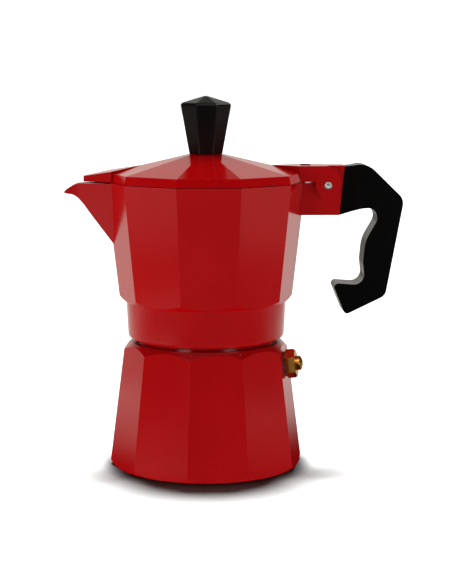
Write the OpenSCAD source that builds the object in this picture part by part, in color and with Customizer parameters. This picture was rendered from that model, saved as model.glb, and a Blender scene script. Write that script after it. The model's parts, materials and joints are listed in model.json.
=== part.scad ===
// Stovetop moka pot with ten flat sides: boiler, funnel, collector and hinged lid.
// Millimetres, +Z up. The origin is the middle of the boiler's base, on the table.
// +X points at the handle and -X at the spout. The collector screws on to the boiler's
// neck with a right-hand thread; the lid turns on a pin through the collector's bracket.

/* [Whole pot] */
// Number of flat sides of the boiler, the collector and the lid
sides = 10; // [8:2:12]
// Thickness of the cast walls
wall = 2.4; // [1.8:0.1:3]
// Gap left between pieces that are put together by hand
fit_gap = 0.3; // [0.2:0.05:0.5]
// Radial gap of a pin in its hole
pin_gap = 0.05; // [0.02:0.01:0.1]

/* [Boiler] */
// Radius across the corners of the boiler, at the table
base_corner_r = 39; // [36:0.5:47]
// Height of the boiler's deck, where the neck starts
boiler_h = 50; // [42:1:62]
// Inward lean of the boiler's corners for each millimetre of height
boiler_lean = 0.128; // [0.08:0.002:0.15]
// Angle between the boiler's corners and the collector's, screwed tight
boiler_turn = 5.4; // [0:0.2:18]
// Radius of the rounded foot edge
foot_edge_r = 3; // [1.5:0.5:4]
// Thickness of the boiler's floor
boiler_floor = 3; // [2:0.5:4]

/* [Neck and thread] */
// Outer radius of the neck's thread
neck_r = 28; // [23:0.5:30]
// Height of the neck above the deck
neck_h = 12; // [11:0.5:15]
// Distance from one turn of the thread to the next
thread_pitch = 2.5; // [2:0.1:3]
// Depth of the thread
thread_depth = 1; // [0.8:0.1:1.2]

/* [Safety valve] */
// Height of the valve's axis where it leaves the boiler
valve_z = 41; // [30:0.5:42]
// Size of the valve's hexagon, across its flats
valve_hex = 10.2; // [9:0.2:11]

/* [Funnel and filter] */
// Depth of the coffee basket, from its flange to its sieve
basket_h = 20; // [14:0.5:24]
// Thickness of the funnel's and the filter's sheet
sheet_t = 0.6; // [0.5:0.1:0.8]
// Outer radius of the funnel's tube
tube_r = 3.4; // [3:0.1:4.5]
// Thickness of the rubber ring
ring_t = 2.4; // [2:0.1:3]
// Diameter of the holes in the sieve and in the filter plate
sieve_hole = 1.2; // [0.8:0.1:1.4]

/* [Collector] */
// Height of the collector's rim above the boiler's deck
collector_h = 63.6; // [52:0.6:77]
// Radius across the corners of the collector, at its rim
rim_corner_r = 39.7; // [37:0.5:48]
// Outward lean of the collector's corners for each millimetre of height
collector_lean = 0.113; // [0.08:0.001:0.13]
// Width of the open seam between the boiler's deck and the collector's skirt
seam = 1.3; // [0.8:0.1:2]
// Height of the riser column above the collector's floor
column_h = 30; // [24:1:34]

/* [Spout] */
// How far the spout's tip stands out from the pot's axis
spout_reach = 56; // [53:0.5:66]
// Half width of the spout where it leaves the body
spout_half = 8.9; // [7:0.1:10]
// Thickness of the spout's walls
spout_wall = 1.6; // [1.2:0.1:2]

/* [Lid and hinge] */
// Height of the lid's upright edge
lid_band = 3.3; // [2.5:0.1:4]
// Rise of the lid's roof for each millimetre towards the middle
lid_pitch = 0.2315; // [0.18:0.0005:0.28]
// Thickness of the lid
lid_t = 2.2; // [1.6:0.1:2.6]
// Distance from the rim's corner to the hinge pin's axis
hinge_out = 8.2; // [7.8:0.1:10]
// Radius of the hinge pin
hinge_pin_r = 1.1; // [1:0.05:1.3]
// Half width of the bracket that carries the hinge and the handle
bracket_half = 4.4; // [3.6:0.1:5.4]
// Thickness of each of the lid's two ears
ear_t = 3; // [2.5:0.1:3.5]

/* [Knob] */
// Height of the knob
knob_h = 22.6; // [18:0.4:28]
// Radius across the corners of the knob's widest part
knob_corner_r = 10.66; // [9:0.1:12]
// Number of flat sides of the knob
knob_sides = 8; // [6:1:10]

/* [Handle] */
// Width of the handle's grip
handle_w = 13.6; // [12:0.2:17]
// How far the handle stands out from its bracket
handle_reach = 23.4; // [20:0.2:28]
// Distance from the top of the handle's arm to the bottom of its grip
handle_drop = 60; // [50:1:66]

/* [Hidden] */
$fn = 72;

red = "firebrick";
black = [0.1, 0.09, 0.09];
steel = "silver";
brass = "goldenrod";

// Overlap that makes two joined shapes one, and cuts run past a face
eps = 0.5;
half_side = 180 / sides;

// Heights, from the table up
skirt_z = boiler_h + seam;
neck_top = boiler_h + neck_h;
flange_top = neck_top + sheet_t;
seat_z = flange_top + ring_t;
skirt_top = seat_z + 1;
plate_top = seat_z + sheet_t;
chamber_top = plate_top + 2;
floor_z = chamber_top + wall + 0.2;
rim_z = boiler_h + collector_h;

// Neck, thread and skirt
neck_root_r = neck_r - thread_depth;
neck_bore_r = neck_root_r - wall - 0.2;
skirt_bore_r = neck_r + 2 * fit_gap;
skirt_crest_r = neck_root_r + fit_gap + 0.1;
skirt_r = skirt_bore_r + wall + 0.2;
skirt_top_r = skirt_r + 0.7;
skirt_edge_r = wall - 0.4;
deck_r = skirt_r - 1.2;
ridge_root_half = 0.32 * thread_pitch;
ridge_crest_half = 0.14 * thread_pitch;
ridge_sunk = 0.35;
neck_ridge_z = boiler_h + 3.5;
neck_turns = (neck_h - 5) / thread_pitch;
skirt_turns = neck_turns - 0.8;
skirt_ridge_z = neck_ridge_z + thread_pitch / 2;
turn_steps = 36;
run_out = 3;

// Boiler
function boiler_corner(z) = base_corner_r - boiler_lean * z;
function boiler_flat(z) = boiler_corner(z) * cos(half_side);
boiler_in_low = boiler_flat(boiler_floor) - wall - 0.2;
boiler_in_top = boiler_flat(boiler_h - 4) - wall - 0.2;

// Safety valve, outward along its own axis from the boiler's flat side
valve_turn = boiler_turn - half_side;
valve_tilt = atan(boiler_lean * cos(half_side));
valve_boss_r = 6.4;
valve_boss_in = 5.4;
valve_shank_r = 4;
washer_t = 0.7;
hex_t = 3.9;
cap_out = 2.6;
cap_r = 2.9;
chamber_r = 2.5;
seat_in = -4;
inlet_r = 1.2;
seal_t = 0.7;
poppet_t = 0.8;
stem_r = 0.75;
cap_t = 0.7;
spring_wire_r = 0.22;
spring_turns = 5;
hex_top = washer_t + hex_t;
cap_top = hex_top + cap_out;
poppet_z = seat_in + seal_t;
spring_low = poppet_z + poppet_t;
spring_high = cap_top - cap_t;

// Funnel
basket_r = neck_bore_r - fit_gap - 0.2;
basket_z = neck_top - basket_h;
flange_r = neck_root_r - 0.4;
cone_h = 8.5;
tube_z = boiler_floor + 2.5;
sieve_lift = 0.8;

// Rubber ring and filter plate
ring_r = skirt_bore_r - fit_gap;
ring_in_r = ring_r - 6.8;
plate_r = ring_in_r + 3.1;
chamber_in_r = ring_in_r + 0.1;

// Collector
function collector_corner(z) = rim_corner_r - collector_lean * (rim_z - z);
function collector_in(z) = collector_corner(z) - wall / cos(half_side);
under_cut_rise = 0.78;
function under_cut_in(z) = skirt_top_r + (z - skirt_top) / under_cut_rise
    - wall * norm([1, 1 / under_cut_rise]);
column_base_r = 8.6;
column_top_r = 5.2;
column_bore_r = 1.9;
column_top = floor_z + column_h;

// Spout: each row is how far out, top, keel and half width
spout_root_x = -collector_corner(rim_z) + 4.2;
spout_run = spout_reach + spout_root_x;
spout_top = rim_z - 0.4;
keel_half = 0.9;
spout_rows = [
    [0, spout_top, rim_z - 26.4, spout_half],
    [0.47, spout_top, rim_z - 13.5, spout_half * 0.53],
    [0.64, spout_top, rim_z - 8.6, spout_half * 0.36],
    [0.74, spout_top - 0.1, rim_z - 6.3, spout_half * 0.28],
    [0.81, spout_top - 0.7, rim_z - 5.3, spout_half * 0.23],
    [0.87, spout_top - 1.4, rim_z - 4.9, spout_half * 0.19],
    [0.94, spout_top - 2.3, rim_z - 4.7, spout_half * 0.14],
    [1, spout_top - 3.2, rim_z - 4.5, spout_half * 0.1]];
channel_rows = [
    [-0.3, rim_z + 3, rim_z - 27.1, spout_half - spout_wall],
    [0.06, rim_z + 3, rim_z - 22.3, spout_half - spout_wall],
    [0.6, rim_z + 3, rim_z - 7.2, spout_half * 0.4 - 1.2],
    [0.75, rim_z + 3, rim_z - 4.6, spout_half * 0.27 - 0.9],
    [0.88, rim_z + 3, rim_z - 3.6, spout_half * 0.17 - 0.6],
    [1.03, rim_z + 3, rim_z - 3.3, 0.5]];

// Lid
lid_gap = 0.2;
lid_z = rim_z + lid_gap;
lid_corner_r = rim_corner_r - 0.3;
band_top = lid_z + lid_band;
roof_corner_r = lid_corner_r - 0.8;
crown_r = 6.2;
lid_top = band_top + lid_pitch * (roof_corner_r - crown_r);
function ridge_z(r) = lid_top - lid_pitch * (r - crown_r);
beak_in = 25.4;
beak_wide = 37.3;
beak_out = spout_reach - 7.7;
beak_wide_half = 8;
beak_tip_half = 2.2;
beak_tip_z = lid_z + 2.2;
beak_fall = (ridge_z(beak_in) - beak_tip_z) / (beak_out - beak_in);

// Hinge
pin_x = rim_corner_r + hinge_out;
pin_z = rim_z - 1.4;
hinge_top = lid_z + 6.2;
ear_in = bracket_half + fit_gap;
ear_out = ear_in + ear_t;
lobe_r = 5;
ear_corner_r = hinge_top - lid_z - 0.2;
swing_r = 10.35;
block_back = pin_x - swing_r;
block_in = (lid_top - hinge_top) / lid_pitch + crown_r;
pin_head_r = 1.6;
pin_head_t = 0.7;

// Bracket, with the slanted face that the handle meets
bracket_low = rim_z - 13.3;
bracket_front = pin_x - 6.4;
bracket_back_top = pin_x + 6.9;
bracket_back_low = pin_x + 4.8;
tang_half = 2.1;
tang_out = 6.5;
tang_low = bracket_low + 7.6;
tang_top = rim_z + 2.4;

// Knob and its fixing
knob_z = lid_top;
knob_foot_r = knob_corner_r * 0.66;
knob_rim_z = knob_z + knob_h - 2.9;
insert_r = 3;
insert_h = 10;
knob_screw_r = 1.95;
screw_head_r = 3.5;
screw_head_h = 2;
knob_washer_t = 0.8;

// Handle: corner points of its outline with the radius that rounds each, [x, z, r]
arm_z = hinge_top - 0.3;
grip_low = arm_z - handle_drop;
reach_x = bracket_back_top + handle_reach;
handle_outline = [
    [bracket_back_top, arm_z, 0.3],
    [bracket_back_top + 3.5, arm_z + 0.3, 3],
    [bracket_back_top + 8.1, arm_z + 1.9, 8],
    [reach_x, arm_z - 13, 5],
    [reach_x - 7, grip_low + 8.6, 4],
    [bracket_back_top + 0.4, grip_low + 0.9, 1.6],
    [bracket_back_top - 4.9, grip_low + 13.8, 1.6],
    [bracket_back_top + 8.4, grip_low + 12.8, 4],
    [bracket_back_top + 7.3, grip_low + 22, 12],
    [bracket_back_top + 8.1, grip_low + 30.5, 14],
    [bracket_back_top + 12.9, arm_z - 21.2, 4],
    [bracket_back_top + 12.2, arm_z - 16.3, 3.6],
    [bracket_back_top + 7.1, arm_z - 16.6, 5],
    [bracket_back_low, bracket_low, 0.3]];
arm_neck = bracket_back_top + 3;
arm_wide = arm_neck + 4.5;
handle_screw_x = bracket_back_top + 3.2;
handle_screw_in = 6;
handle_screw_r = 1.45;
handle_head_r = 2.7;
handle_head_h = 1.6;
handle_washer_t = 0.6;
handle_bore_r = handle_head_r + fit_gap;
handle_seat_z = tang_low - 2.6;

// A prism with flat sides whose corner radius changes from low to high
module flats(z0, z1, r0, r1, n = sides) {
    translate([0, 0, z0]) cylinder(h = z1 - z0, r1 = r0, r2 = r1, $fn = n);
}

// A plate drawn in X and Z, standing between two values of Y
module upright(y0, y1) {
    translate([0, y1, 0]) rotate([90, 0, 0]) linear_extrude(height = y1 - y0) children();
}

// A round bar along Y
module bar_y(x, z, r, y0, y1) {
    translate([x, y1, z]) rotate([90, 0, 0]) cylinder(h = y1 - y0, r = r);
}

module tube(z0, z1, r_out, r_in) {
    difference() {
        translate([0, 0, z0]) cylinder(h = z1 - z0, r = r_out);
        translate([0, 0, z0 - eps]) cylinder(h = z1 - z0 + 2 * eps, r = r_in);
    }
}

// Quads of a skin over rings of four points, closed at both ends
function ring_faces(n) = concat(
    [[3, 2, 1, 0]],
    [for (i = [0:n - 2], k = [0:3])
        [4 * i + k, 4 * i + (k + 1) % 4, 4 * (i + 1) + (k + 1) % 4, 4 * (i + 1) + k]],
    [[4 * n - 4, 4 * n - 3, 4 * n - 2, 4 * n - 1]]);

// Triangles, for skins whose quads are not flat
function split_faces(faces) = [for (f = faces) each
    (len(f) == 4 ? [[f[0], f[1], f[2]], [f[0], f[2], f[3]]] : [f])];

// A helical ridge of trapezoid section that fades in and out at its ends
module ridge(z0, turns, root_r, crest_r) {
    steps = round(turns * turn_steps);
    sunk = crest_r > root_r ? -ridge_sunk : ridge_sunk;
    wide = ridge_root_half + 0.15;
    pts = [for (i = [0:steps])
        let (a = 360 * i / turn_steps,
            z = z0 + thread_pitch * i / turn_steps,
            full = min(1, i / run_out, (steps - i) / run_out),
            crest = root_r + sunk / 3 + (crest_r - root_r - sunk / 3) * full,
            inner = min(crest, root_r + sunk),
            outer = max(crest, root_r + sunk),
            in_half = crest_r > root_r ? wide : ridge_crest_half,
            out_half = crest_r > root_r ? ridge_crest_half : wide)
        each [
            [inner * cos(a), inner * sin(a), z - in_half],
            [outer * cos(a), outer * sin(a), z - out_half],
            [outer * cos(a), outer * sin(a), z + out_half],
            [inner * cos(a), inner * sin(a), z + in_half]]];
    polyhedron(pts, split_faces(ring_faces(steps + 1)));
}

// The outline of corner points [x, y, r] with every corner rounded by its radius
function unit(v) = v / norm(v);
function rounded(p) = let (n = len(p)) [for (i = [0:n - 1])
    let (c = [p[i][0], p[i][1]],
        u = unit([p[(i + n - 1) % n][0], p[(i + n - 1) % n][1]] - c),
        v = unit([p[(i + 1) % n][0], p[(i + 1) % n][1]] - c),
        half = acos(u * v) / 2,
        r = p[i][2],
        mid = c + unit(u + v) * r / sin(half),
        start = c + u * r / tan(half) - mid,
        sweep = (180 - 2 * half) * (cross(u, v) > 0 ? -1 : 1),
        steps = max(2, ceil(abs(sweep) / 12)))
    for (k = [0:steps])
        let (a = sweep * k / steps)
        mid + [start[0] * cos(a) - start[1] * sin(a), start[0] * sin(a) + start[1] * cos(a)]];

// ---------- Boiler ----------

module boiler_outside() {
    foot_r = boiler_flat(0) - foot_edge_r + 1.8;
    clear_r = base_corner_r + 1;
    intersection() {
        flats(0, boiler_h, base_corner_r, boiler_corner(boiler_h));
        rotate_extrude() polygon(concat(
            [[0, 0]],
            [for (a = [0:15:90])
                [foot_r + foot_edge_r * sin(a), foot_edge_r * (1 - cos(a))]],
            [[clear_r, boiler_h - clear_r + deck_r], [deck_r, boiler_h], [0, boiler_h]]));
    }
}

module boiler_inside() {
    rotate_extrude() polygon([
        [0, boiler_floor],
        [boiler_in_low - 3, boiler_floor],
        [boiler_in_low - 0.8, boiler_floor + 0.9],
        [boiler_in_low, boiler_floor + 3],
        [boiler_in_top, boiler_h - 5.5],
        [neck_bore_r, boiler_h - 2],
        [neck_bore_r, neck_top + eps],
        [0, neck_top + eps]]);
}

module boiler() {
    color(red) difference() {
        union() {
            difference() {
                union() {
                    rotate([0, 0, boiler_turn]) boiler_outside();
                    translate([0, 0, boiler_h - 1]) cylinder(h = neck_h + 1, r = neck_root_r);
                }
                boiler_inside();
            }
            ridge(neck_ridge_z, neck_turns, neck_root_r, neck_r);
            at_valve() translate([0, 0, -valve_boss_in])
                cylinder(h = valve_boss_in - 1, r = valve_boss_r);
        }
        at_valve() translate([0, 0, -10]) cylinder(h = 20, r = valve_shank_r);
    }
}

// ---------- Safety valve ----------

// Puts its children on the boiler's flat side, with +Z outward along the valve's axis
module at_valve() {
    rotate([0, 0, valve_turn]) translate([boiler_flat(valve_z), 0, valve_z])
        rotate([0, 90 - valve_tilt, 0]) children();
}

module valve_washer() {
    color("dimgray") at_valve() tube(0, washer_t, valve_hex / 2 - 0.1, valve_shank_r);
}

module valve_body() {
    color(brass) at_valve() difference() {
        union() {
            intersection() {
                translate([0, 0, washer_t])
                    cylinder(h = hex_t, r = valve_hex / 2 / cos(30), $fn = 6);
                translate([0, 0, washer_t])
                    cylinder(h = hex_t, r1 = valve_hex / 2 + 3.6, r2 = valve_hex / 2 + 0.1);
            }
            translate([0, 0, -valve_boss_in]) cylinder(h = valve_boss_in + 1, r = valve_shank_r);
        }
        translate([0, 0, seat_in]) cylinder(h = 20, r = chamber_r);
        translate([0, 0, -10]) cylinder(h = 20, r = inlet_r);
        translate([0, 0, hex_top - 1.5]) cylinder(h = 5, r = cap_r);
    }
}

module valve_cap() {
    color(brass) at_valve() difference() {
        intersection() {
            translate([0, 0, hex_top - 1.5]) cylinder(h = cap_out + 1.5, r = cap_r);
            translate([0, 0, cap_top - cap_r * 1.62]) sphere(r = cap_r * 1.62);
        }
        translate([0, 0, hex_top - 2]) cylinder(h = cap_out + 2 - cap_t, r = chamber_r - 0.1);
        translate([0, 0, hex_top]) cylinder(h = 10, r = stem_r + 0.15);
    }
}

module valve_seal() {
    color("dimgray") at_valve() translate([0, 0, seat_in]) cylinder(h = seal_t, r = chamber_r - 0.4);
}

module valve_poppet() {
    color(steel) at_valve() {
        translate([0, 0, poppet_z]) cylinder(h = poppet_t, r = chamber_r - 0.3);
        translate([0, 0, poppet_z]) cylinder(h = cap_top - poppet_z - 0.2, r = stem_r);
    }
}

module valve_spring() {
    coil_r = (stem_r + chamber_r) / 2;
    low = spring_low + spring_wire_r + 0.03;
    high = spring_high - spring_wire_r - 0.03;
    steps = spring_turns * 14;
    pts = [for (i = [0:steps])
        let (a = 360 * i / 14, z = low + (high - low) * i / steps)
        each [for (k = [0:3])
            let (r = coil_r + spring_wire_r * cos(90 * k))
            [r * cos(a), r * sin(a), z + spring_wire_r * sin(90 * k)]]];
    color(steel) at_valve() polyhedron(pts, split_faces(ring_faces(steps + 1)));
}

// ---------- Funnel and filter ----------

// Holes on rings of 6, 12, 18 and so on round one in the middle
module sieve_holes(z, r_last, rows) {
    for (row = [0:rows])
        for (k = [0:max(0, 6 * row - 1)])
            rotate([0, 0, 60 * k / max(1, row)]) translate([r_last * row / rows, 0, z - 2])
                cylinder(h = 4, d = sieve_hole);
}

module funnel_body() {
    color("lightgray") rotate_extrude() polygon([
        [tube_r - sheet_t, tube_z],
        [tube_r, tube_z],
        [tube_r, basket_z - cone_h],
        [basket_r, basket_z - 1],
        [basket_r, neck_top],
        [flange_r, neck_top],
        [flange_r, flange_top],
        [basket_r - sheet_t, flange_top],
        [basket_r - sheet_t, basket_z - 0.8],
        [tube_r - sheet_t, basket_z - cone_h + 0.4]]);
}

module funnel_sieve() {
    r = basket_r - sheet_t;
    color(steel) difference() {
        union() {
            translate([0, 0, basket_z + sieve_lift]) cylinder(h = sheet_t, r = r);
            tube(basket_z - 0.8, basket_z + sieve_lift + 0.1, r, r - sheet_t);
        }
        sieve_holes(basket_z + sieve_lift, r - 2.6, 5);
    }
}

module rubber_ring() {
    color("gainsboro") tube(flange_top, seat_z, ring_r, ring_in_r);
}

module filter_plate() {
    color(steel) difference() {
        translate([0, 0, seat_z]) cylinder(h = sheet_t, r = plate_r);
        sieve_holes(seat_z, ring_in_r - 1.8, 6);
    }
}

// ---------- Collector ----------

// One cross-section of the spout: top left, keel left, keel right, top right
function spout_ring(row, keel) = let (x = spout_root_x - spout_run * row[0]) [
    [x, -row[3], row[1]],
    [x, -min(keel, row[3]), row[2]],
    [x, min(keel, row[3]), row[2]],
    [x, row[3], row[1]]];

module spout_solid(rows, keel) {
    polyhedron([for (row = rows) each spout_ring(row, keel)],
        split_faces(ring_faces(len(rows))));
}

module bracket() {
    upright(-bracket_half, bracket_half) polygon([
        [collector_corner(bracket_low) - 3, bracket_low],
        [bracket_back_low, bracket_low],
        [bracket_back_top, hinge_top],
        [bracket_front, hinge_top],
        [bracket_front, rim_z - 0.6],
        [collector_corner(rim_z) - 2, rim_z - 0.6]]);
    upright(-tang_half, tang_half) polygon([
        [bracket_back_low - 2, tang_low],
        [bracket_back_top + tang_out, tang_low],
        [bracket_back_top + tang_out, tang_top],
        [bracket_back_low - 2, tang_top]]);
}

module collector_outside() {
    cut_z = rim_z + 1;
    clear_r = rim_corner_r + 1;
    rotate_extrude() polygon(concat(
        [[0, skirt_z]],
        [for (a = [0:18:90])
            [skirt_r - skirt_edge_r * (1 - sin(a)), skirt_z + skirt_edge_r * (1 - cos(a))]],
        [[skirt_top_r, skirt_top], [skirt_top_r, skirt_top + 0.3], [0, skirt_top + 0.3]]));
    intersection() {
        flats(skirt_top, rim_z, collector_corner(skirt_top), rim_corner_r);
        rotate_extrude() polygon([
            [0, skirt_top],
            [skirt_top_r, skirt_top],
            [clear_r, skirt_top + (clear_r - skirt_top_r) * under_cut_rise],
            [clear_r, cut_z],
            [0, cut_z]]);
    }
    spout_solid(spout_rows, keel_half);
}

// The chamber, which stays a wall's thickness inside the under-cut below the flat sides
module collector_inside() {
    high = rim_z + eps;
    intersection() {
        flats(floor_z, high, collector_in(floor_z), collector_in(high));
        translate([0, 0, floor_z])
            cylinder(h = high - floor_z, r1 = under_cut_in(floor_z), r2 = under_cut_in(high));
    }
}

module column() {
    rotate_extrude() polygon(concat(
        [[column_bore_r, chamber_top - 0.2], [column_base_r, floor_z - 1],
            [column_base_r, floor_z + 0.6], [column_base_r - 1.4, floor_z + 5],
            [column_top_r, column_top - 6]],
        [for (a = [0:18:90]) [column_top_r * cos(a) * 0.96, column_top - 4 + 4 * sin(a)]],
        [[0, column_top - 3.4], [column_bore_r, column_top - 3.4]]));
}

module collector() {
    color(red) difference() {
        union() {
            difference() {
                union() {
                    collector_outside();
                    bracket();
                }
                collector_inside();
                spout_solid(channel_rows, keel_half / 2);
                translate([0, 0, skirt_z - eps]) cylinder(h = seat_z - skirt_z + eps, r = skirt_bore_r);
                translate([0, 0, seat_z - eps]) cylinder(h = sheet_t + eps, r = plate_r + 0.2);
                translate([0, 0, plate_top - eps])
                    cylinder(h = chamber_top - plate_top + eps, r1 = chamber_in_r, r2 = 4);
                translate([0, 0, chamber_top - 0.3]) cylinder(h = 8, r = column_bore_r);
            }
            column();
            ridge(skirt_ridge_z, skirt_turns, skirt_bore_r, skirt_crest_r);
        }
        bar_y(pin_x, pin_z, hinge_pin_r + pin_gap, -20, 20);
        translate([handle_screw_x, 0, tang_low - 1])
            cylinder(h = handle_screw_in + 1.5, r = handle_screw_r);
        translate([0, 0, column_top - 5.4]) cube([20, 2.2, 2.6], center = true);
    }
}

// ---------- Lid ----------

// The raised beak over the spout, shrunk by the given wall for its hollow
module beak(thin) {
    low = lid_z - (thin > 0 ? eps : 0);
    top_in = ridge_z(beak_in) - thin;
    intersection() {
        translate([0, 0, low]) linear_extrude(height = 20) polygon([
            [-beak_in + 2 * thin, 0],
            [-beak_wide + thin * 0.6, -beak_wide_half + thin],
            [-beak_out + thin * 1.6, -beak_tip_half + thin / 2],
            [-beak_out + thin * 1.6, beak_tip_half - thin / 2],
            [-beak_wide + thin * 0.6, beak_wide_half - thin]]);
        upright(-beak_wide_half - 1, beak_wide_half + 1) polygon([
            [-beak_out - 1, low],
            [-beak_in + 6, low],
            [-beak_in + 6, top_in + 6 * beak_fall],
            [-beak_out - 1, top_in - (beak_out - beak_in + 1) * beak_fall]]);
    }
}

module ear(y0) {
    difference() {
        union() {
            upright(y0, y0 + ear_t) polygon([
                [block_back - 1, lid_z],
                [pin_x - 1, lid_z],
                [pin_x - 1, hinge_top],
                [block_back - 1, hinge_top]]);
            intersection() {
                bar_y(pin_x - 1, lid_z + 0.2, ear_corner_r, y0, y0 + ear_t);
                translate([pin_x - 4, y0 - 1, lid_z - 1.6]) cube([20, ear_t + 2, 20]);
            }
            bar_y(pin_x, pin_z, lobe_r, y0, y0 + ear_t);
        }
        bar_y(pin_x, pin_z, hinge_pin_r + pin_gap, y0 - 1, y0 + ear_t + 1);
    }
}

module lid() {
    inner_r = lid_corner_r - wall;
    roof_in_z = ridge_z(inner_r) - lid_t;
    color(red) difference() {
        union() {
            flats(lid_z, band_top, lid_corner_r, roof_corner_r);
            flats(band_top, lid_top, roof_corner_r, crown_r);
            beak(0);
            translate([0, 0, lid_z]) linear_extrude(height = hinge_top - lid_z) polygon([
                [block_in, 0],
                [block_back - 1, -ear_out],
                [block_back + 0.2, -ear_out],
                [block_back + 0.2, ear_out],
                [block_back - 1, ear_out]]);
            ear(-ear_out);
            ear(ear_in);
        }
        difference() {
            union() {
                flats(lid_z - eps, roof_in_z, inner_r, inner_r);
                flats(roof_in_z - 0.01, lid_top - lid_t, inner_r, crown_r);
            }
            translate([block_back - 5, -ear_out, lid_z - 1]) cube([20, 2 * ear_out, 10]);
        }
        beak(lid_t);
        translate([block_back, -ear_in, lid_z - 10]) cube([30, 2 * ear_in, 30]);
        translate([0, 0, lid_top - 10]) cylinder(h = 20, r = knob_screw_r + fit_gap);
    }
}

module hinge_pin() {
    color(steel) {
        bar_y(pin_x, pin_z, hinge_pin_r, -ear_out, ear_out);
        for (side = [-1, 1])
            bar_y(pin_x, pin_z, pin_head_r,
                side > 0 ? ear_out : -ear_out - pin_head_t,
                side > 0 ? ear_out + pin_head_t : -ear_out);
    }
}

// ---------- Knob ----------

module knob() {
    turn = 180 / knob_sides;
    rim_edge = 0.7;
    color(black) difference() {
        rotate([0, 0, turn - 90]) {
            flats(knob_z, knob_rim_z - rim_edge, knob_foot_r, knob_corner_r, knob_sides);
            flats(knob_rim_z - rim_edge, knob_rim_z, knob_corner_r, knob_corner_r - 0.25, knob_sides);
            flats(knob_rim_z, knob_rim_z + 0.35, knob_corner_r - 0.25, knob_corner_r - 1, knob_sides);
            flats(knob_rim_z + 0.35, knob_z + knob_h, knob_corner_r - 1, 0.7, knob_sides);
        }
        translate([0, 0, knob_z - eps]) cylinder(h = insert_h + eps, r = insert_r);
    }
}

module knob_insert() {
    color(brass) tube(knob_z, knob_z + insert_h, insert_r, knob_screw_r + pin_gap);
}

module knob_washer() {
    z = lid_top - lid_t - knob_washer_t;
    color(steel) tube(z, z + knob_washer_t, screw_head_r + 0.7, knob_screw_r + 0.2);
}

module knob_screw() {
    head_z = lid_top - lid_t - knob_washer_t - screw_head_h;
    color(steel) difference() {
        union() {
            translate([0, 0, head_z]) cylinder(h = screw_head_h, r1 = screw_head_r - 0.6, r2 = screw_head_r);
            translate([0, 0, head_z + 1]) cylinder(h = knob_z + insert_h - 1 - head_z - 1, r = knob_screw_r);
        }
        for (a = [0, 90])
            rotate([0, 0, a]) translate([0, 0, head_z]) cube([4, 0.8, 2.4], center = true);
    }
}

// ---------- Handle ----------

module handle() {
    half = handle_w / 2;
    far = reach_x + 10;
    color(black) difference() {
        intersection() {
            upright(-half, half) polygon(rounded(handle_outline));
            union() {
                translate([0, 0, grip_low - 5]) linear_extrude(height = handle_drop + 20) polygon([
                    [bracket_back_top - 20, -bracket_half],
                    [arm_neck, -bracket_half],
                    [arm_wide, -half],
                    [far, -half],
                    [far, half],
                    [arm_wide, half],
                    [arm_neck, bracket_half],
                    [bracket_back_top - 20, bracket_half]]);
                translate([0, -half, grip_low - 5]) cube([far, handle_w, handle_drop - 25]);
            }
        }
        translate([bracket_back_low - 3, -tang_half - 0.1, tang_low - 0.1])
            cube([bracket_back_top - bracket_back_low + tang_out + 3.2, 2 * tang_half + 0.2,
                tang_top - tang_low + 0.2]);
        translate([handle_screw_x, 0, bracket_low - 5])
            cylinder(h = handle_seat_z - bracket_low + 5, r = handle_bore_r);
        translate([handle_screw_x, 0, handle_seat_z - 1])
            cylinder(h = tang_low - handle_seat_z + 1, r = handle_screw_r + 0.2);
    }
}

module handle_washer() {
    color(steel) translate([handle_screw_x, 0, 0])
        tube(handle_seat_z - handle_washer_t, handle_seat_z, handle_head_r, handle_screw_r + 0.15);
}

module handle_screw() {
    head_z = handle_seat_z - handle_washer_t - handle_head_h;
    color(steel) translate([handle_screw_x, 0, 0]) difference() {
        union() {
            translate([0, 0, head_z]) cylinder(h = handle_head_h, r = handle_head_r - 0.2);
            translate([0, 0, head_z + 1])
                cylinder(h = tang_low + handle_screw_in - head_z - 1, r = handle_screw_r - 0.05);
        }
        translate([0, 0, head_z]) cube([10, 0.8, 1.6], center = true);
    }
}

boiler();
valve_washer();
valve_body();
valve_cap();
valve_spring();
valve_poppet();
valve_seal();
funnel_body();
funnel_sieve();
rubber_ring();
filter_plate();
collector();
lid();
hinge_pin();
knob();
knob_insert();
knob_washer();
knob_screw();
handle();
handle_washer();
handle_screw();
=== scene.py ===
"""A red faceted moka pot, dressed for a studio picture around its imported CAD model.

Run as a script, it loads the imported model, softens and paints its castings, builds the
hinge pin and the valve spring, and lights them on a plain floor. Lengths are in metres.
"""
import json
import math

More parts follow.
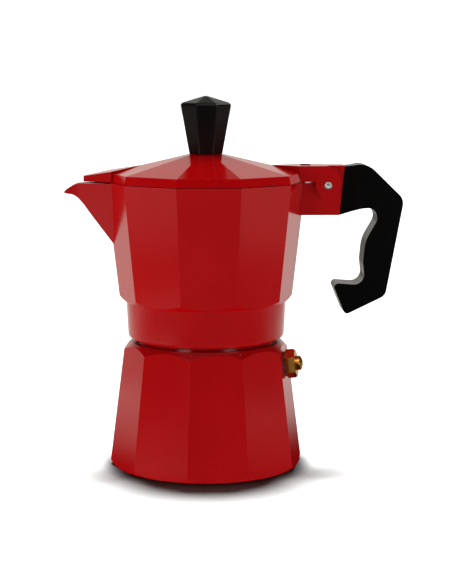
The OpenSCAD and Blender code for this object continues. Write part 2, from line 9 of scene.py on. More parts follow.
import bmesh
import bpy
from bpy.props import FloatProperty, FloatVectorProperty, IntProperty, PointerProperty
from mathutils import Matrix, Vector
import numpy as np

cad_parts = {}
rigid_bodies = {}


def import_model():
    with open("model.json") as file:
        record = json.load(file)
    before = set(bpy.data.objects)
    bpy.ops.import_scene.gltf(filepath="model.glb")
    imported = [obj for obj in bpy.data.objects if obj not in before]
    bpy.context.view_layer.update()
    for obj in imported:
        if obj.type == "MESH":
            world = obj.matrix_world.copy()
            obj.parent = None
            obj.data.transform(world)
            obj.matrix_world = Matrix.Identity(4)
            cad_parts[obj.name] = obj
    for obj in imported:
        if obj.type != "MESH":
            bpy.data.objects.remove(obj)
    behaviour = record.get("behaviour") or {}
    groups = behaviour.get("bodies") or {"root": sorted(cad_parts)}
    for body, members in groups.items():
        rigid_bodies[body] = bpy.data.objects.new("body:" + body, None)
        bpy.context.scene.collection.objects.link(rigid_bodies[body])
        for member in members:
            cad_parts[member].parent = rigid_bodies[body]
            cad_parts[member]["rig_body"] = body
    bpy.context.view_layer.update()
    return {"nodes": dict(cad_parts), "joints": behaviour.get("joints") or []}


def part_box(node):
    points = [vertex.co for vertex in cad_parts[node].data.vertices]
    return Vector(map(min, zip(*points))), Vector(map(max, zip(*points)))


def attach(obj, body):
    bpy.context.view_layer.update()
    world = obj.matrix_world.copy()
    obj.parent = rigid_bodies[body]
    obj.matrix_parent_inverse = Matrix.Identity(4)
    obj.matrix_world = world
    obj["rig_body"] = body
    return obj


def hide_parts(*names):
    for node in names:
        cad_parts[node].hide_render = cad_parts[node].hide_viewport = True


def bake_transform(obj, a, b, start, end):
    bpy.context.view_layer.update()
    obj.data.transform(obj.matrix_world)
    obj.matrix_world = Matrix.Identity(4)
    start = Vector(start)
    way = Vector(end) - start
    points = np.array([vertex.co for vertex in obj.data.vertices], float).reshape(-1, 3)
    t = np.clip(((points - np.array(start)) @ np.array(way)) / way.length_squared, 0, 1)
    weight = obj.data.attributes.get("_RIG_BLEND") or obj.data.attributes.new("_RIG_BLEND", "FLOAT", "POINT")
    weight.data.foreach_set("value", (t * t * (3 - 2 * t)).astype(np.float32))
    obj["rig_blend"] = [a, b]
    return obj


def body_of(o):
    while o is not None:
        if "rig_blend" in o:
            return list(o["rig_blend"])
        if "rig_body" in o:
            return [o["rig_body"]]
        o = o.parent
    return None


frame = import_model()

bl_info = {
    "name": "Moka pot",
    "version": (1, 0, 0),
    "blender": (4, 5, 0),
    "location": "View3D > Sidebar > Moka pot",
    "description": "Finishes a moka pot's castings and fittings, and sets them in a plain studio",
    "category": "Object",
}

MM = 0.001
SIDES = 10
HALF_SIDE = math.pi / SIDES
UP = Vector((0, 0, 1))
BLACK = (0, 0, 0, 1)
WHITE = (1, 1, 1, 1)


# ---------- Where things are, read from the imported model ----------

def joint(name):
    """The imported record's joint of that name."""
    return next(j for j in frame["joints"] if j["name"] == name)


def top(node):
    """The height of a CAD node's highest point."""
    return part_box(node)[1].z


def low(node):
    """The height of a CAD node's lowest point."""
    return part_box(node)[0].z


PIN = Vector(joint("lid_hinge")["pos_m"])
VALVE_OUT = Vector(joint("valve_lift")["axis"]).normalized()
RIM_Z = low("lid") + 6.6 * MM
SKIRT_Z = low("collector")
DECK_Z = SKIRT_Z - 1.3 * MM
FLOOR_Z = top("rubber_ring") + 5.2 * MM

# Sizes of the castings: radii across the corners, and how far the walls lean for their height
BASE_CORNER = 39 * MM
RIM_CORNER = 39.7 * MM
BOILER_TURN = math.radians(5.4)
BOILER_LEAN = 0.1217
COLLECTOR_LEAN = 0.113
INSIDE_LEAN = 0.1075
ROOF_SLOPE = 0.2434
ROOF_FLAT = 6.0 * MM

# The valve spring's wire radius, coil radius and turns, and the faces that make it
SPRING_WIRE = 0.2 * MM
SPRING_COIL = 1.6 * MM
SPRING_TURNS = 6.5
STEPS_A_TURN = 28
WIRE_FACES = 10

# The hinge pin: its shank's radius, and a head's outline from the middle of its face inwards,
# as millimetres along the pin and parts of the head's radius
PIN_SHANK = 1.1 * MM
PIN_HEAD = [(-0.28, 0.0), (-0.28, 0.2), (-0.2, 0.36), (-0.02, 0.48), (0.0, 0.6),
            (-0.05, 0.74), (-0.18, 0.9), (-0.4, 1.0), (-0.62, 1.0), (-0.7, 0.94)]
PIN_HEAD_THICK = 0.7 * MM

# What the lights are aimed at, and the distance between two rings left by the lathe
AIM = (0.0, 0.0, 0.07)
LATHE_PITCH = 0.22 * MM


# ---------- Sizes and colours that a user may change ----------

class PotShape(bpy.types.PropertyGroup):
    """How far the edges of the pieces are softened."""

    casting_edge: FloatProperty(
        name="Casting edge", description="Width of the softened edge between two cast faces",
        default=0.45 * MM, min=0, unit="LENGTH")
    lid_edge: FloatProperty(
        name="Lid edge", description="Width of the softened edge between the lid's faces",
        default=0.7 * MM, min=0, unit="LENGTH")
    moulding_edge: FloatProperty(
        name="Moulding edge", description="Width of the rounded edge of the moulded handle",
        default=2.0 * MM, min=0, unit="LENGTH")
    knob_edge: FloatProperty(
        name="Knob edge", description="Width of the rounded edge of the knob",
        default=0.8 * MM, min=0, unit="LENGTH")
    turned_edge: FloatProperty(
        name="Turned edge", description="Width of the broken edge of the brass pieces",
        default=0.18 * MM, min=0, unit="LENGTH")
    edge_steps: IntProperty(
        name="Edge steps", description="Number of faces across a softened edge",
        default=3, min=1, max=8)


class PotFinish(bpy.types.PropertyGroup):
    """Colours of the finishes and how rough they are."""

    paint: FloatVectorProperty(
        name="Paint", description="Colour of the paint on the castings",
        subtype="COLOR", size=3, default=(0.37, 0.0006, 0.0016), min=0, max=1)
    paint_roughness: FloatProperty(
        name="Paint roughness", description="Roughness of the paint",
        default=0.13, min=0, max=1, subtype="FACTOR")
    plastic: FloatVectorProperty(
        name="Plastic", description="Colour of the handle and the knob",
        subtype="COLOR", size=3, default=(0.003, 0.0027, 0.0027), min=0, max=1)
    plastic_roughness: FloatProperty(
        name="Plastic roughness", description="Roughness of the handle and the knob",
        default=0.26, min=0, max=1, subtype="FACTOR")
    aluminium: FloatVectorProperty(
        name="Aluminium", description="Colour of the bare metal inside the pot",
        subtype="COLOR", size=3, default=(0.72, 0.71, 0.69), min=0, max=1)
    brass: FloatVectorProperty(
        name="Brass", description="Colour of the safety valve",
        subtype="COLOR", size=3, default=(0.95, 0.47, 0.09), min=0, max=1)
    steel: FloatVectorProperty(
        name="Steel", description="Colour of the screws, the washers and the valve's steel",
        subtype="COLOR", size=3, default=(0.62, 0.61, 0.6), min=0, max=1)
    pin: FloatVectorProperty(
        name="Pin", description="Colour of the hinge pin's bright zinc",
        subtype="COLOR", size=3, default=(0.88, 0.87, 0.85), min=0, max=1)
    rubber: FloatVectorProperty(
        name="Rubber", description="Colour of the sealing ring",
        subtype="COLOR", size=3, default=(0.78, 0.74, 0.66), min=0, max=1)


class PotStage(bpy.types.PropertyGroup):
    """The camera, the floor and the lights."""

    camera_place: FloatVectorProperty(
        name="Camera", description="Where the camera stands",
        subtype="TRANSLATION", unit="LENGTH", size=3, default=(-0.01973, -0.64295, 0.1619))
    camera_pitch: FloatProperty(
        name="Pitch", description="How far the camera looks down",
        default=math.radians(8.2), subtype="ANGLE", unit="ROTATION")
    camera_turn: FloatProperty(
        name="Turn", description="How far the camera looks round to the left",
        default=math.radians(-2.47), subtype="ANGLE", unit="ROTATION")
    focal_length: FloatProperty(
        name="Focal length", description="Focal length on a sensor 36 mm long",
        default=100.04, min=20, max=300)
    floor_size: FloatProperty(
        name="Floor", description="Radius of the floor",
        default=4.0, min=0.5, unit="LENGTH")
    key_power: FloatProperty(
        name="Key power", description="Power of the soft light at the front left, in watts",
        default=2.3, min=0)
    side_power: FloatProperty(
        name="Side power", description="Power of the soft light at the front right, in watts",
        default=2.0, min=0)
    backdrop: FloatProperty(
        name="Backdrop", description="Brightness of the white backdrop in reflections",
        default=0.78, min=0)
    top_power: FloatProperty(
        name="Top power", description="Power of the soft light overhead, in watts",
        default=16, min=0)
    edge_power: FloatProperty(
        name="Edge power",
        description="Power of the light on the handle's and knob's edges, in watts",
        default=5.0, min=0)
    wash_power: FloatProperty(
        name="Wash power",
        description="Power of the soft light at the left, twice the right's, in watts",
        default=4.4, min=0)
    floor_light: FloatProperty(
        name="Floor light", description="Strength of the light from above that whitens the floor",
        default=17.0, min=0)
    ambient: FloatProperty(
        name="Ambient", description="Brightness of the even light from all round",
        default=0.06, min=0)
    warmth: FloatVectorProperty(
        name="Warmth", description="Colour of the white surroundings in reflections",
        subtype="COLOR", size=3, default=(1.0, 0.96, 0.89), min=0, max=1)
    window: FloatProperty(
        name="Window", description="Brightness of the high front window in reflections",
        default=2.0, min=0)
    bounce: FloatProperty(
        name="Bounce", description="Brightness of the light that comes up from the floor",
        default=1.3, min=0)


# ---------- Shader maths ----------

class Value:
    """A shader socket that carries a number, so that maths on it adds Math nodes."""

    def __init__(self, graph, socket):
        self.graph = graph
        self.socket = socket

    def maths(self, operation, *others):
        node = self.graph.node("ShaderNodeMath", {"operation": operation},
                               {i: v for i, v in enumerate((self, *others))})
        return Value(self.graph, node.outputs[0])

    def __add__(self, other):
        return self.maths("ADD", other)

    def __sub__(self, other):
        return self.maths("SUBTRACT", other)

    def __mul__(self, other):
        return self.maths("MULTIPLY", other)

    def __truediv__(self, other):
        return self.maths("DIVIDE", other)

    def __mod__(self, other):
        return self.maths("FLOORED_MODULO", other)

    def __pow__(self, other):
        return self.maths("POWER", other)

    def __lt__(self, other):
        return self.maths("LESS_THAN", other)

    def __gt__(self, other):
        return self.maths("GREATER_THAN", other)

    __radd__ = __add__
    __rmul__ = __mul__

    def __rsub__(self, other):
        node = self.graph.node("ShaderNodeMath", {"operation": "SUBTRACT"}, {0: other, 1: self})
        return Value(self.graph, node.outputs[0])


class Graph:
    """A node tree, cleared and rebuilt. Every node in it comes from node()."""

    def __init__(self, tree):
        self.tree = tree
        tree.nodes.clear()

    def node(self, kind, settings=None, sockets=None):
        """A node of that kind: its settings first, then its sockets' values or links."""
        made = self.tree.nodes.new(kind)
        for name, value in (settings or {}).items():
            setattr(made, name, value)
        for name, value in (sockets or {}).items():
            if isinstance(value, Value):
                value = value.socket
            if isinstance(value, bpy.types.NodeSocket):
                self.tree.links.new(value, made.inputs[name])
            else:
                made.inputs[name].default_value = value
        return made

    def value(self, socket):
        return Value(self, socket)

    def place(self):
        """The point in the row's frame, and its three coordinates."""
        point = self.node("ShaderNodeTexCoord").outputs["Object"]
        split = self.node("ShaderNodeSeparateXYZ", None, {0: point})
        return point, [self.value(split.outputs[i]) for i in range(3)]

    def noise(self, point, scale, detail=2.0, rough=0.5, squash=None):
        """Noise of that many spots a metre, squashed along an axis if asked."""
        if squash:
            mapping = self.node("ShaderNodeMapping", None, {"Vector": point, "Scale": squash})
            point = mapping.outputs[0]
        made = self.node("ShaderNodeTexNoise", None,
                         {"Vector": point, "Scale": scale, "Detail": detail, "Roughness": rough})
        return self.value(made.outputs[0])

    def soft_step(self, value, start, end):
        """0 below start, 1 above end, and smooth between."""
        made = self.node("ShaderNodeMapRange", {"interpolation_type": "SMOOTHSTEP"},
                         {"Value": value, "From Min": start, "From Max": end})
        return self.value(made.outputs[0])

    def mix_colour(self, factor, a, b):
        """a where factor is 0, b where it is 1, for colours."""
        made = self.node("ShaderNodeMix", {"data_type": "RGBA"}, {0: factor, 6: a, 7: b})
        return made.outputs[2]

    def mix(self, factor, a, b):
        """a where factor is 0, b where it is 1, for numbers."""
        return a + (b - a) * factor

    def bump(self, height, depth, strength=1.0):
        """A normal from a height that runs from 0 to 1, where 1 stands depth metres proud."""
        return self.node("ShaderNodeBump", None,
                         {"Height": height, "Distance": depth, "Strength": strength}).outputs[0]


def finish(name, build, **fixed):
    """A Principled material: build(graph) gives the sockets that vary, fixed the even ones."""
    made = bpy.data.materials.new(name)
    made.use_nodes = True
    graph = Graph(made.node_tree)
    varying = build(graph)
    shader = graph.node("ShaderNodeBsdfPrincipled", None,
                        {k.replace("_", " "): v for k, v in {**fixed, **varying}.items()})
    graph.node("ShaderNodeOutputMaterial", None, {"Surface": shader.outputs[0]})
    return made


def rgba(colour):
    return (*colour, 1.0)


def scaled(colour, by):
    return rgba([min(1.0, c * by) for c in colour])


# ---------- Finishes ----------

def bare_metal(graph, point, colour):
    """Colour, roughness and height of cast aluminium: grey clouds and a fine grain."""
    clouds = graph.noise(point, 60, 4)
    grain = graph.noise(point, 2600, 2)
    tint = graph.mix_colour(graph.soft_step(clouds, 0.3, 0.7), scaled(colour, 0.86), rgba(colour))
    rough = 0.34 + 0.14 * clouds + 0.08 * grain
    return tint, rough, grain


def painted(name, bare_mask):
    """Red paint on a casting. bare_mask(graph, x, y, z) is 1 where the metal is left bare."""
    look = bpy.context.scene.pot_finish

    def build(graph):
        point, (x, y, z) = graph.place()
        bare = bare_mask(graph, x, y, z)
        metal, metal_rough, grain = bare_metal(graph, point, look.aluminium)
        clouds = graph.noise(point, 26, 3)
        peel = graph.noise(point, 420, 2, 0.4)
        dust = graph.soft_step(graph.noise(point, 1500, 0), 0.74, 0.8)
        red = graph.mix_colour(graph.soft_step(clouds, 0.25, 0.75),
                               scaled(look.paint, 0.93), scaled(look.paint, 1.05))
        red = graph.mix_colour(dust * 0.3, red, scaled(look.paint, 1.2))
        rough = look.paint_roughness + 0.03 * clouds + 0.05 * dust
        height = graph.mix(bare, peel * 0.8, grain * 0.6)
        return {
            "Base_Color": graph.mix_colour(bare, red, metal),
            "Roughness": graph.mix(bare, rough, metal_rough),
            "Metallic": bare,
            "Normal": graph.bump(height, 0.03 * MM),
        }

    return finish(name, build, Specular_IOR_Level=0.5, IOR=1.5)


def polygon_distance(x, y, turn=0.0):
    """A point's distance from the axis square to the flat side it faces, and its radius."""
    radius = (x * x + y * y) ** 0.5
    local = (y.maths("ARCTAN2", x) - turn) % (2 * HALF_SIDE) - HALF_SIDE
    return radius * local.maths("COSINE"), radius


def boiler_bare(graph, x, y, z):
    """Bare inside the boiler, on its neck and on its machined base."""
    flat, radius = polygon_distance(x, y, BOILER_TURN)
    middle_of_wall = (BASE_CORNER * math.cos(HALF_SIDE) - 1.4 * MM) - z * BOILER_LEAN
    inside = (flat < middle_of_wall) * (z > 1.5 * MM) * (z < DECK_Z - 1.2 * MM)
    neck = (z > DECK_Z + 2.2 * MM) + (radius < 26 * MM) * (z > DECK_Z - 2 * MM)
    base = z < 0.01 * MM
    return (inside + neck + base).maths("MINIMUM", 1)


def collector_bare(graph, x, y, z):
    """Bare in the collector's chamber, on its column and inside its skirt."""
    flat, radius = polygon_distance(x, y)
    foot_corner = RIM_CORNER - COLLECTOR_LEAN * RIM_Z
    middle_of_wall = foot_corner * math.cos(HALF_SIDE) - 1.2 * MM + z * INSIDE_LEAN
    chamber = (flat < middle_of_wall) * (z > FLOOR_Z - 1 * MM)
    skirt = (radius < 30 * MM) * (z < FLOOR_Z - 1 * MM) * (z > SKIRT_Z + 0.05 * MM)
    return (chamber + skirt).maths("MINIMUM", 1)


def lid_bare(graph, x, y, z):
    """Bare under the lid's roof."""
    flat, _ = polygon_distance(x, y)
    roof = top("lid") + ROOF_FLAT * ROOF_SLOPE - flat * ROOF_SLOPE
    under = (z < roof - 1.1 * MM) * (flat < 36.3 * MM) * (z < top("lid") - 1 * MM)
    edge = (flat < 35.5 * MM) * (z < low("lid") + 7 * MM)
    return (under + edge * (x < 30 * MM)).maths("MINIMUM", 1)


def plastic(name):
    """Black moulding with a fine even texture and a faint mould flow."""
    look = bpy.context.scene.pot_finish

    def build(graph):
        point, _ = graph.place()
        flow = graph.noise(point, 45, 3, 0.6, (1, 1, 0.4))
        grain = graph.noise(point, 1900, 2)
        handled = graph.soft_step(graph.noise(point, 110, 4), 0.45, 0.8)
        tint = graph.mix_colour(flow, scaled(look.plastic, 0.8), scaled(look.plastic, 1.35))
        rough = look.plastic_roughness + 0.08 * flow + 0.05 * grain - 0.05 * handled
        return {
            "Base_Color": tint,
            "Roughness": rough,
            "Normal": graph.bump(grain * 0.7 + flow * 0.3, 0.02 * MM),
        }

    return finish(name, build, IOR=1.5, Specular_IOR_Level=0.35)


def turned_metal(name, colour, axis, origin, roughness=0.24, groove=0.5):
    """Metal with fine rings from the lathe, round an axis through origin."""
    across = axis.orthogonal().normalized()
    other = axis.cross(across)

    def build(graph):
        point, _ = graph.place()
        moved = graph.node("ShaderNodeVectorMath", {"operation": "SUBTRACT"},
                           {0: point, 1: tuple(origin)}).outputs[0]

        def along(direction):
            dot = graph.node("ShaderNodeVectorMath", {"operation": "DOT_PRODUCT"},
                             {0: moved, 1: tuple(direction)})
            return graph.value(dot.outputs["Value"])

        u, v, w = along(across), along(other), along(axis)
        radius = (u * u + v * v) ** 0.5
        rings = ((radius + w) * (2 * math.pi / LATHE_PITCH)).maths("SINE") * 0.5 + 0.5
        stain = graph.noise(point, 420, 4)
        tint = graph.mix_colour(graph.soft_step(stain, 0.35, 0.75),
                                rgba(colour), scaled(colour, 0.72))
        return {
            "Base_Color": tint,
            "Roughness": roughness + 0.12 * stain + 0.05 * rings,
            "Normal": graph.bump(rings, 0.006 * MM, groove),
        }

    return finish(name, build, Metallic=1.0)


def sheet_metal(name, colour):
    """Pressed aluminium sheet: fine drawn lines down its height and small scuffs."""
    def build(graph):
        point, _ = graph.place()
        drawn = graph.noise(point, 1400, 2, 0.5, (1, 1, 0.05))
        scuff = graph.noise(point, 90, 5)
        tint = graph.mix_colour(scuff, scaled(colour, 0.88), scaled(colour, 1.04))
        return {
            "Base_Color": tint,
            "Roughness": 0.25 + 0.16 * scuff + 0.06 * drawn,
            "Normal": graph.bump(drawn, 0.008 * MM),
        }

    return finish(name, build, Metallic=1.0)


def soft_rubber(name, colour):
    """Moulded rubber: matt, a little cloudy, with a fine skin."""
    def build(graph):
        point, _ = graph.place()
        clouds = graph.noise(point, 120, 3)
        skin = graph.noise(point, 2400, 2)
        tint = graph.mix_colour(clouds, scaled(colour, 0.9), scaled(colour, 1.05))
        return {
            "Base_Color": tint,
            "Roughness": 0.58 + 0.12 * clouds,
            "Normal": graph.bump(skin, 0.02 * MM),
        }

    return finish(name, build, IOR=1.45)


def to_object(name, shape, material=None):
    """Turns a finished bmesh into an object of the scene, smooth if it has a material."""
    mesh = bpy.data.meshes.new(name)
    shape.to_mesh(mesh)
    shape.free()
    if material:
        mesh.shade_smooth()
        mesh.materials.append(material)
    made = bpy.data.objects.new(name, mesh)
    bpy.context.scene.collection.objects.link(made)
    return made


def dress(node, material):
    """Gives a CAD node its finish."""
    mesh = frame["nodes"][node].data
    mesh.materials.clear()
    mesh.materials.append(material)


def soften(node, width, angle=6.0, steps=None):
    """Joins a CAD node's flat faces and rounds its edges, with modifiers only."""
    piece = frame["nodes"][node]
    shape = bpy.context.scene.pot_shape
    if "custom_normal" in piece.data.attributes:
        piece.data.attributes.remove(piece.data.attributes["custom_normal"])
    weld = piece.modifiers.new("Join", "WELD")
    weld.merge_threshold = 0.002 * MM
    flatten = piece.modifiers.new("Flatten", "DECIMATE")
    flatten.decimate_type = "DISSOLVE"
    flatten.angle_limit = math.radians(0.4)
    edge = piece.modifiers.new("Soften", "BEVEL")
    edge.width = width
    edge.segments = steps or shape.edge_steps
    edge.limit_method = "ANGLE"
    edge.angle_limit = math.radians(angle)
    edge.use_clamp_overlap = True
    edge.harden_normals = False
    piece.data.shade_smooth()
    even = piece.modifiers.new("Even", "WEIGHTED_NORMAL")
    even.keep_sharp = True
    even.weight = 60
    return piece


# ---------- Operators ----------

class PieceOperator(bpy.types.Operator):
    """Shared start of the operators that finish a piece"""

    bl_options = {"REGISTER", "UNDO"}


class FinishBoiler(PieceOperator):
    """Softens the boiler's cast edges and paints it, with its neck and inside left bare"""

    bl_idname = "pot.finish_boiler"
    bl_label = "Boiler"

    def execute(self, context):
        dress("boiler", painted("red_paint_boiler", boiler_bare))
        soften("boiler", context.scene.pot_shape.casting_edge)
        return {"FINISHED"}


class FinishCollector(PieceOperator):
    """Softens the collector's cast edges and paints it, with its chamber left bare"""

    bl_idname = "pot.finish_collector"
    bl_label = "Collector"

    def execute(self, context):
        dress("collector", painted("red_paint_collector", collector_bare))
        soften("collector", context.scene.pot_shape.casting_edge)
        return {"FINISHED"}


class FinishLid(PieceOperator):
    """Softens the lid's edges and paints it, with its underside left bare"""

    bl_idname = "pot.finish_lid"
    bl_label = "Lid"

    def execute(self, context):
        dress("lid", painted("red_paint_lid", lid_bare))
        soften("lid", context.scene.pot_shape.lid_edge)
        return {"FINISHED"}


class FinishValve(PieceOperator):
    """Gives the safety valve its turned brass, steel and rubber"""

    bl_idname = "pot.finish_valve"
    bl_label = "Safety valve"

    def spring(self, middle, steel):
        """Winds the spring with closed ends; its inner end follows the poppet as it lifts."""
        vertices = frame["nodes"]["valve_spring"].data.vertices
        reach = [(v.co - middle).dot(VALVE_OUT) for v in vertices]
        start, end = min(reach) + SPRING_WIRE, max(reach) - SPRING_WIRE
        across = VALVE_OUT.orthogonal().normalized()
        other = VALVE_OUT.cross(across)
        pitch = (end - start - 4 * SPRING_WIRE) / (SPRING_TURNS - 2)
        shape = bmesh.new()
        rings = []
        for step in range(int(SPRING_TURNS * STEPS_A_TURN) + 1):
            turn = step / STEPS_A_TURN
            open_turns = min(max(turn - 1, 0), SPRING_TURNS - 2)
            height = start + 2 * SPRING_WIRE * (turn - open_turns) + pitch * open_turns
            angle = 2 * math.pi * turn
            outward = across * math.cos(angle) + other * math.sin(angle)
            centre = middle + VALVE_OUT * height + outward * SPRING_COIL
            rings.append([shape.verts.new(
                centre + (outward * math.cos(a) + VALVE_OUT * math.sin(a)) * SPRING_WIRE)
                for a in (2 * math.pi * k / WIRE_FACES for k in range(WIRE_FACES))])
        for ring, following in zip(rings, rings[1:]):
            for k in range(WIRE_FACES):
                k_next = (k + 1) % WIRE_FACES
                shape.faces.new((ring[k], ring[k_next], following[k_next], following[k]))
        shape.faces.new(reversed(rings[0]))
        shape.faces.new(rings[-1])
        bmesh.ops.recalc_face_normals(shape, faces=shape.faces)
        made = to_object("spring_coil", shape, steel)
        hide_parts("valve_spring")
        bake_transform(made, "poppet", "boiler", middle + VALVE_OUT * start, middle + VALVE_OUT * end)

    def execute(self, context):
        look = context.scene.pot_finish
        shape = context.scene.pot_shape
        low_corner, high_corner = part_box("valve_cap")
        middle = (low_corner + high_corner) / 2
        brass = turned_metal("turned_brass", look.brass, VALVE_OUT, middle)
        steel = turned_metal("valve_steel", look.steel, VALVE_OUT, middle, 0.3)
        seal = soft_rubber("valve_seal_rubber", (0.05, 0.045, 0.04))
        for node in ("valve_body", "valve_cap"):
            dress(node, brass)
            soften(node, shape.turned_edge, 25)
        dress("valve_poppet", steel)
        self.spring(middle, steel)
        for node in ("valve_washer", "valve_seal"):
            dress(node, seal)
        return {"FINISHED"}


class FinishFunnel(PieceOperator):
    """Gives the funnel, its sieve, the filter plate and the rubber ring their finishes"""

    bl_idname = "pot.finish_funnel"
    bl_label = "Funnel and filter"

    def execute(self, context):
        look = context.scene.pot_finish
        sheet = sheet_metal("pressed_aluminium", look.aluminium)
        for node in ("funnel_body", "funnel_sieve", "filter_plate"):
            dress(node, sheet)
        dress("rubber_ring", soft_rubber("ring_rubber", look.rubber))
        return {"FINISHED"}


class FinishKnob(PieceOperator):
    """Rounds the knob's edges and gives it its black plastic, with its metal fixing"""

    bl_idname = "pot.finish_knob"
    bl_label = "Knob"

    def execute(self, context):
        look = context.scene.pot_finish
        shape = context.scene.pot_shape
        dress("knob", plastic("knob_plastic"))
        soften("knob", shape.knob_edge, 8, 4)
        dress("knob_insert", turned_metal("insert_brass", look.brass, UP, Vector()))
        steel = turned_metal("knob_screw_steel", look.steel, UP, Vector(), 0.28)
        for node in ("knob_screw", "knob_washer"):
            dress(node, steel)
        return {"FINISHED"}


class FinishHandle(PieceOperator):
    """Rounds the moulded handle and gives its screw and washer their steel"""

    bl_idname = "pot.finish_handle"
    bl_label = "Handle"

    def execute(self, context):
        look = context.scene.pot_finish
        shape = context.scene.pot_shape
        dress("handle", plastic("handle_plastic"))
        soften("handle", shape.moulding_edge, 40, 5)
        low_corner, high_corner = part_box("handle_screw")
        steel = turned_metal("handle_screw_steel", look.steel, UP,
                             (low_corner + high_corner) / 2, 0.28)
        for node in ("handle_screw", "handle_washer"):
            dress(node, steel)
        return {"FINISHED"}


class BuildHinge(PieceOperator):
    """Turns the hinge pin, a plain shank with a domed and dimpled head at each end"""

    bl_idname = "pot.build_hinge"
    bl_label = "Hinge pin"

    def execute(self, context):
        look = context.scene.pot_finish
        low_corner, high_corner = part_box("hinge_pin")
        half = (high_corner.y - low_corner.y) / 2
        head = (high_corner.x - low_corner.x) / 2
        ring = [(half + along * MM, across * head) for along, across in PIN_HEAD]
        ring.append((half - PIN_HEAD_THICK, PIN_SHANK))
        outline = ring + [(-along, across) for along, across in reversed(ring)]
        shape = bmesh.new()
        line = [shape.verts.new((across, along, 0)) for along, across in outline]
        for a, b in zip(line, line[1:]):
            shape.edges.new((a, b))
        bmesh.ops.spin(shape, geom=shape.verts[:] + shape.edges[:], cent=(0, 0, 0), axis=(0, 1, 0),
                       angle=2 * math.pi, steps=48, use_merge=True)
        bmesh.ops.remove_doubles(shape, verts=shape.verts, dist=0.001 * MM)
        bmesh.ops.recalc_face_normals(shape, faces=shape.faces)
        bmesh.ops.translate(shape, verts=shape.verts, vec=(low_corner + high_corner) / 2)
        zinc = turned_metal("pin_steel", look.pin, Vector((0, 1, 0)), PIN, 0.4)
        rivet = to_object("hinge_rivet", shape, zinc)
        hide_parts("hinge_pin")
        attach(rivet, body_of(frame["nodes"]["hinge_pin"])[0])
        return {"FINISHED"}


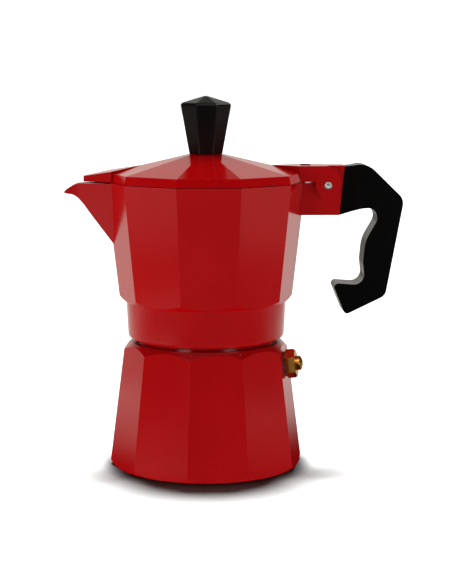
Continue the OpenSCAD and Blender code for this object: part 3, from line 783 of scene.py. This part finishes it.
class BuildStage(PieceOperator):
    """Makes the floor, the lights, the surroundings and the camera"""

    bl_idname = "pot.build_stage"
    bl_label = "Stage"

    def disc(self, name, radius, height):
        """A flat round sheet that is no part of the pot."""
        shape = bmesh.new()
        bmesh.ops.create_circle(shape, cap_ends=True, segments=96, radius=radius)
        bmesh.ops.translate(shape, verts=shape.verts, vec=(0, 0, height))
        made = to_object(name, shape)
        return made

    def floor(self, stage):
        """The floor, with a contact shadow painted into its colour close round the foot; the lights in front
        leave it alone.
        """
        made = self.disc("floor", stage.floor_size, 0)
        made.visible_glossy = made.visible_diffuse = False

        def build(graph):
            point, (x, y, _) = graph.place()
            forward = y + 2 * MM
            radius = (x * x + forward * forward) ** 0.5
            # darker close round the foot: a painted contact shadow in the floor's colour, not one cast by a
            # lamp
            clear = graph.soft_step(radius, BASE_CORNER - 3 * MM, BASE_CORNER + 6 * MM)
            return {
                "Base_Color": graph.mix_colour(clear, (0.03, 0.03, 0.03, 1), (0.3, 0.3, 0.3, 1)),
                "Roughness": 0.7 + 0.1 * graph.noise(point, 900),
            }

        made.data.materials.append(finish("white_floor", build, Specular_IOR_Level=0.1))
        return made

    def cards(self, stage):
        """Two glowing cards under the floor that the camera doesn't see.

        One shows in reflections: white behind, dimmer at the sides and dark in front, with a
        dim flag straight behind for the handle's edges, and darker close under the pot, a painted
        shadow of the pot on the floor. The other lights the pot from below, as a white floor does.
        """
        def reflected(graph):
            point, (x, y, _) = graph.place()
            radius = (x * x + y * y) ** 0.5
            near = graph.soft_step(y, -0.12, 0.25)
            left = graph.soft_step(x / radius, -0.5, -0.9)
            left = left * (1 - graph.soft_step(radius, 0.2, 0.28))
            # the factor on the radius darkens the card close under the pot: a painted shadow of the pot in
            # the floor's reflection
            near = near.maths("MAXIMUM", left * 0.5) * graph.soft_step(radius, 0.04, 0.15)
            sideways = graph.soft_step(y / radius, -0.9, -0.4) * 0.45
            sideways = sideways * (1 - graph.soft_step(radius, 0.55, 0.85))
            far = (graph.soft_step(y / radius, 0.4, 0.95) * 1.25).maths("MAXIMUM", sideways)
            flag = graph.soft_step(y / radius, 0.95, 0.99) * graph.soft_step(radius, 0.45, 0.6)
            white = graph.mix(graph.soft_step(radius, 0.28, 0.42), near, far)
            white = white * (1 - 0.75 * flag) * stage.backdrop
            white = white * (0.95 + 0.1 * graph.noise(point, 2))
            return {"Emission_Color": graph.mix_colour(white, BLACK, rgba(stage.warmth))}

        def bounced(graph):
            point, _ = graph.place()
            return {"Emission_Color": (0.95 + 0.1 * graph.noise(point, 2)) * stage.bounce}

        for name, build in (("reflected", reflected), ("bounced", bounced)):
            made = self.disc(name + "_card", stage.floor_size, -1 * MM)
            made.visible_camera = made.visible_shadow = made.visible_transmission = False
            made.visible_diffuse = name == "bounced"
            made.visible_glossy = name == "reflected"
            made.data.materials.append(finish(name + "_card", build, Base_Color=BLACK,
                                              Specular_IOR_Level=0.0, Emission_Strength=1.0))

    def light(self, name, place, size, power, receivers):
        """A soft light that the camera doesn't see, aimed at the pot, on those pieces only."""
        lamp = bpy.data.lights.new(name, "AREA")
        lamp.shape = "RECTANGLE"
        lamp.size, lamp.size_y = size
        lamp.energy = power
        made = bpy.data.objects.new(name, lamp)
        made.location = place
        made.rotation_euler = (Vector(AIM) - Vector(place)).to_track_quat("-Z", "Y").to_euler()
        made.visible_camera = False
        made.light_linking.receiver_collection = receivers
        bpy.context.scene.collection.objects.link(made)
        return made

    def all_but(self, name, *left_out):
        """The objects that a light falls on: all of them but those left out."""
        group = bpy.data.collections.new(name)
        for piece in left_out:
            group.objects.link(piece)
        for entry in group.collection_objects:
            entry.light_linking.link_state = "EXCLUDE"
        return group

    def floor_light(self, stage, floor):
        """A broad light from above that falls on the floor alone, where the castings shade it."""
        lamp = bpy.data.lights.new("floor_light", "SUN")
        lamp.angle = math.radians(13)
        lamp.energy = stage.floor_light
        made = bpy.data.objects.new("floor_light", lamp)
        made.rotation_euler = (math.radians(-11.5), 0, 0)
        made.visible_glossy = False
        only = bpy.data.collections.new("lit_floor")
        only.objects.link(floor)
        made.light_linking.receiver_collection = only
        casters = bpy.data.collections.new("shadow_on_the_floor")
        for node in ("boiler", "collector"):
            casters.objects.link(frame["nodes"][node])
        made.light_linking.blocker_collection = casters
        bpy.context.scene.collection.objects.link(made)

    def surroundings(self, stage):
        """White to the eye; in reflections a backdrop behind and a high window in a dim room."""
        world = bpy.data.worlds.new("studio")
        bpy.context.scene.world = world
        world.use_nodes = True
        world.cycles.sampling_method = "NONE"
        graph = Graph(world.node_tree)
        direction = graph.node("ShaderNodeTexCoord").outputs["Generated"]
        split = graph.node("ShaderNodeSeparateXYZ", None, {0: direction})
        x, y, z = (graph.value(split.outputs[i]) for i in range(3))
        behind = graph.soft_step(y, 0.62, 0.98) * graph.soft_step(z, -0.02, 0.02)
        below_edge = 1 - graph.soft_step(z, 0.42, 0.56)
        window = graph.soft_step(z, 0.5, 0.6) * graph.soft_step(-1 * y, 0.2, 0.4)
        window = window * (1 - graph.soft_step(z, 0.8, 0.9))
        reflected = 0.015 + behind * below_edge * stage.backdrop + window * stage.window
        path = graph.node("ShaderNodeLightPath")
        camera = graph.value(path.outputs["Is Camera Ray"])
        glossy = graph.value(path.outputs["Is Glossy Ray"])
        seen = graph.mix(glossy, graph.mix(camera, stage.ambient, 1.05), reflected)
        tint = graph.mix_colour(glossy, WHITE, rgba(stage.warmth))
        background = graph.node("ShaderNodeBackground", None, {"Color": tint, "Strength": seen})
        graph.node("ShaderNodeOutputWorld", None, {"Surface": background.outputs[0]})

    def execute(self, context):
        scene = context.scene
        stage = scene.pot_stage
        floor = self.floor(stage)
        self.floor_light(stage, floor)
        handle = frame["nodes"]["handle"]
        castings = self.all_but("lit_from_the_front", floor, handle)
        everything = self.all_but("lit_from_above", floor)
        self.cards(stage)
        self.light("key", (-0.74, -0.95, 0.13), (0.4, 0.24), stage.key_power, castings)
        self.light("side", (0.74, -0.95, 0.13), (0.4, 0.24), stage.side_power, castings)
        mouldings = bpy.data.collections.new("black_mouldings")
        for node in ("handle", "knob"):
            mouldings.objects.link(frame["nodes"][node])
        self.light("edge", (0.55, 0.25, 0.95), (0.8, 0.8), stage.edge_power, mouldings)
        for side, power in ((-1, stage.wash_power), (1, stage.wash_power / 2)):
            wash = self.light("wash", (side, -0.05, 0.12), (0.5, 0.5), power, castings)
            wash.visible_glossy = False
        top_light = self.light("overhead", (0.0, 0.15, 1.2), (0.9, 0.9),
                               stage.top_power, everything)
        top_light.visible_glossy = False
        self.surroundings(stage)
        camera = bpy.data.objects.new("camera", bpy.data.cameras.new("camera"))
        camera.data.lens = stage.focal_length
        camera.data.sensor_width = 36
        camera.data.clip_start, camera.data.clip_end = 0.01, 50
        camera.location = stage.camera_place
        camera.rotation_euler = (math.pi / 2 - stage.camera_pitch, 0, stage.camera_turn)
        scene.collection.objects.link(camera)
        scene.camera = camera
        scene.view_settings.view_transform = "Standard"
        return {"FINISHED"}


class PotPanel(bpy.types.Panel):
    """Lists the pot's pieces and the settings of its shape, finish and stage"""

    bl_idname = "VIEW3D_PT_moka_pot"
    bl_label = "Moka pot"
    bl_space_type = "VIEW_3D"
    bl_region_type = "UI"
    bl_category = "Moka pot"

    def draw(self, context):
        layout = self.layout
        for operator in PIECES:
            layout.operator(operator.bl_idname)
        for group in (context.scene.pot_shape, context.scene.pot_finish, context.scene.pot_stage):
            box = layout.box()
            for name in group.bl_rna.properties.keys():
                if name not in ("rna_type", "name"):
                    box.prop(group, name)


GROUPS = (PotShape, PotFinish, PotStage)
PIECES = (BuildStage, FinishBoiler, FinishCollector, FinishLid, FinishValve, FinishFunnel,
          FinishKnob, FinishHandle, BuildHinge)


def register():
    for group in (*GROUPS, *PIECES, PotPanel):
        bpy.utils.register_class(group)
    bpy.types.Scene.pot_shape = PointerProperty(type=PotShape)
    bpy.types.Scene.pot_finish = PointerProperty(type=PotFinish)
    bpy.types.Scene.pot_stage = PointerProperty(type=PotStage)


def unregister():
    del bpy.types.Scene.pot_stage, bpy.types.Scene.pot_finish, bpy.types.Scene.pot_shape
    for group in reversed((*GROUPS, *PIECES, PotPanel)):
        bpy.utils.unregister_class(group)


def main():
    register()
    for operator in PIECES:
        group, name = operator.bl_idname.split(".")
        getattr(getattr(bpy.ops, group), name)()


if __name__ == "__main__":
    main()
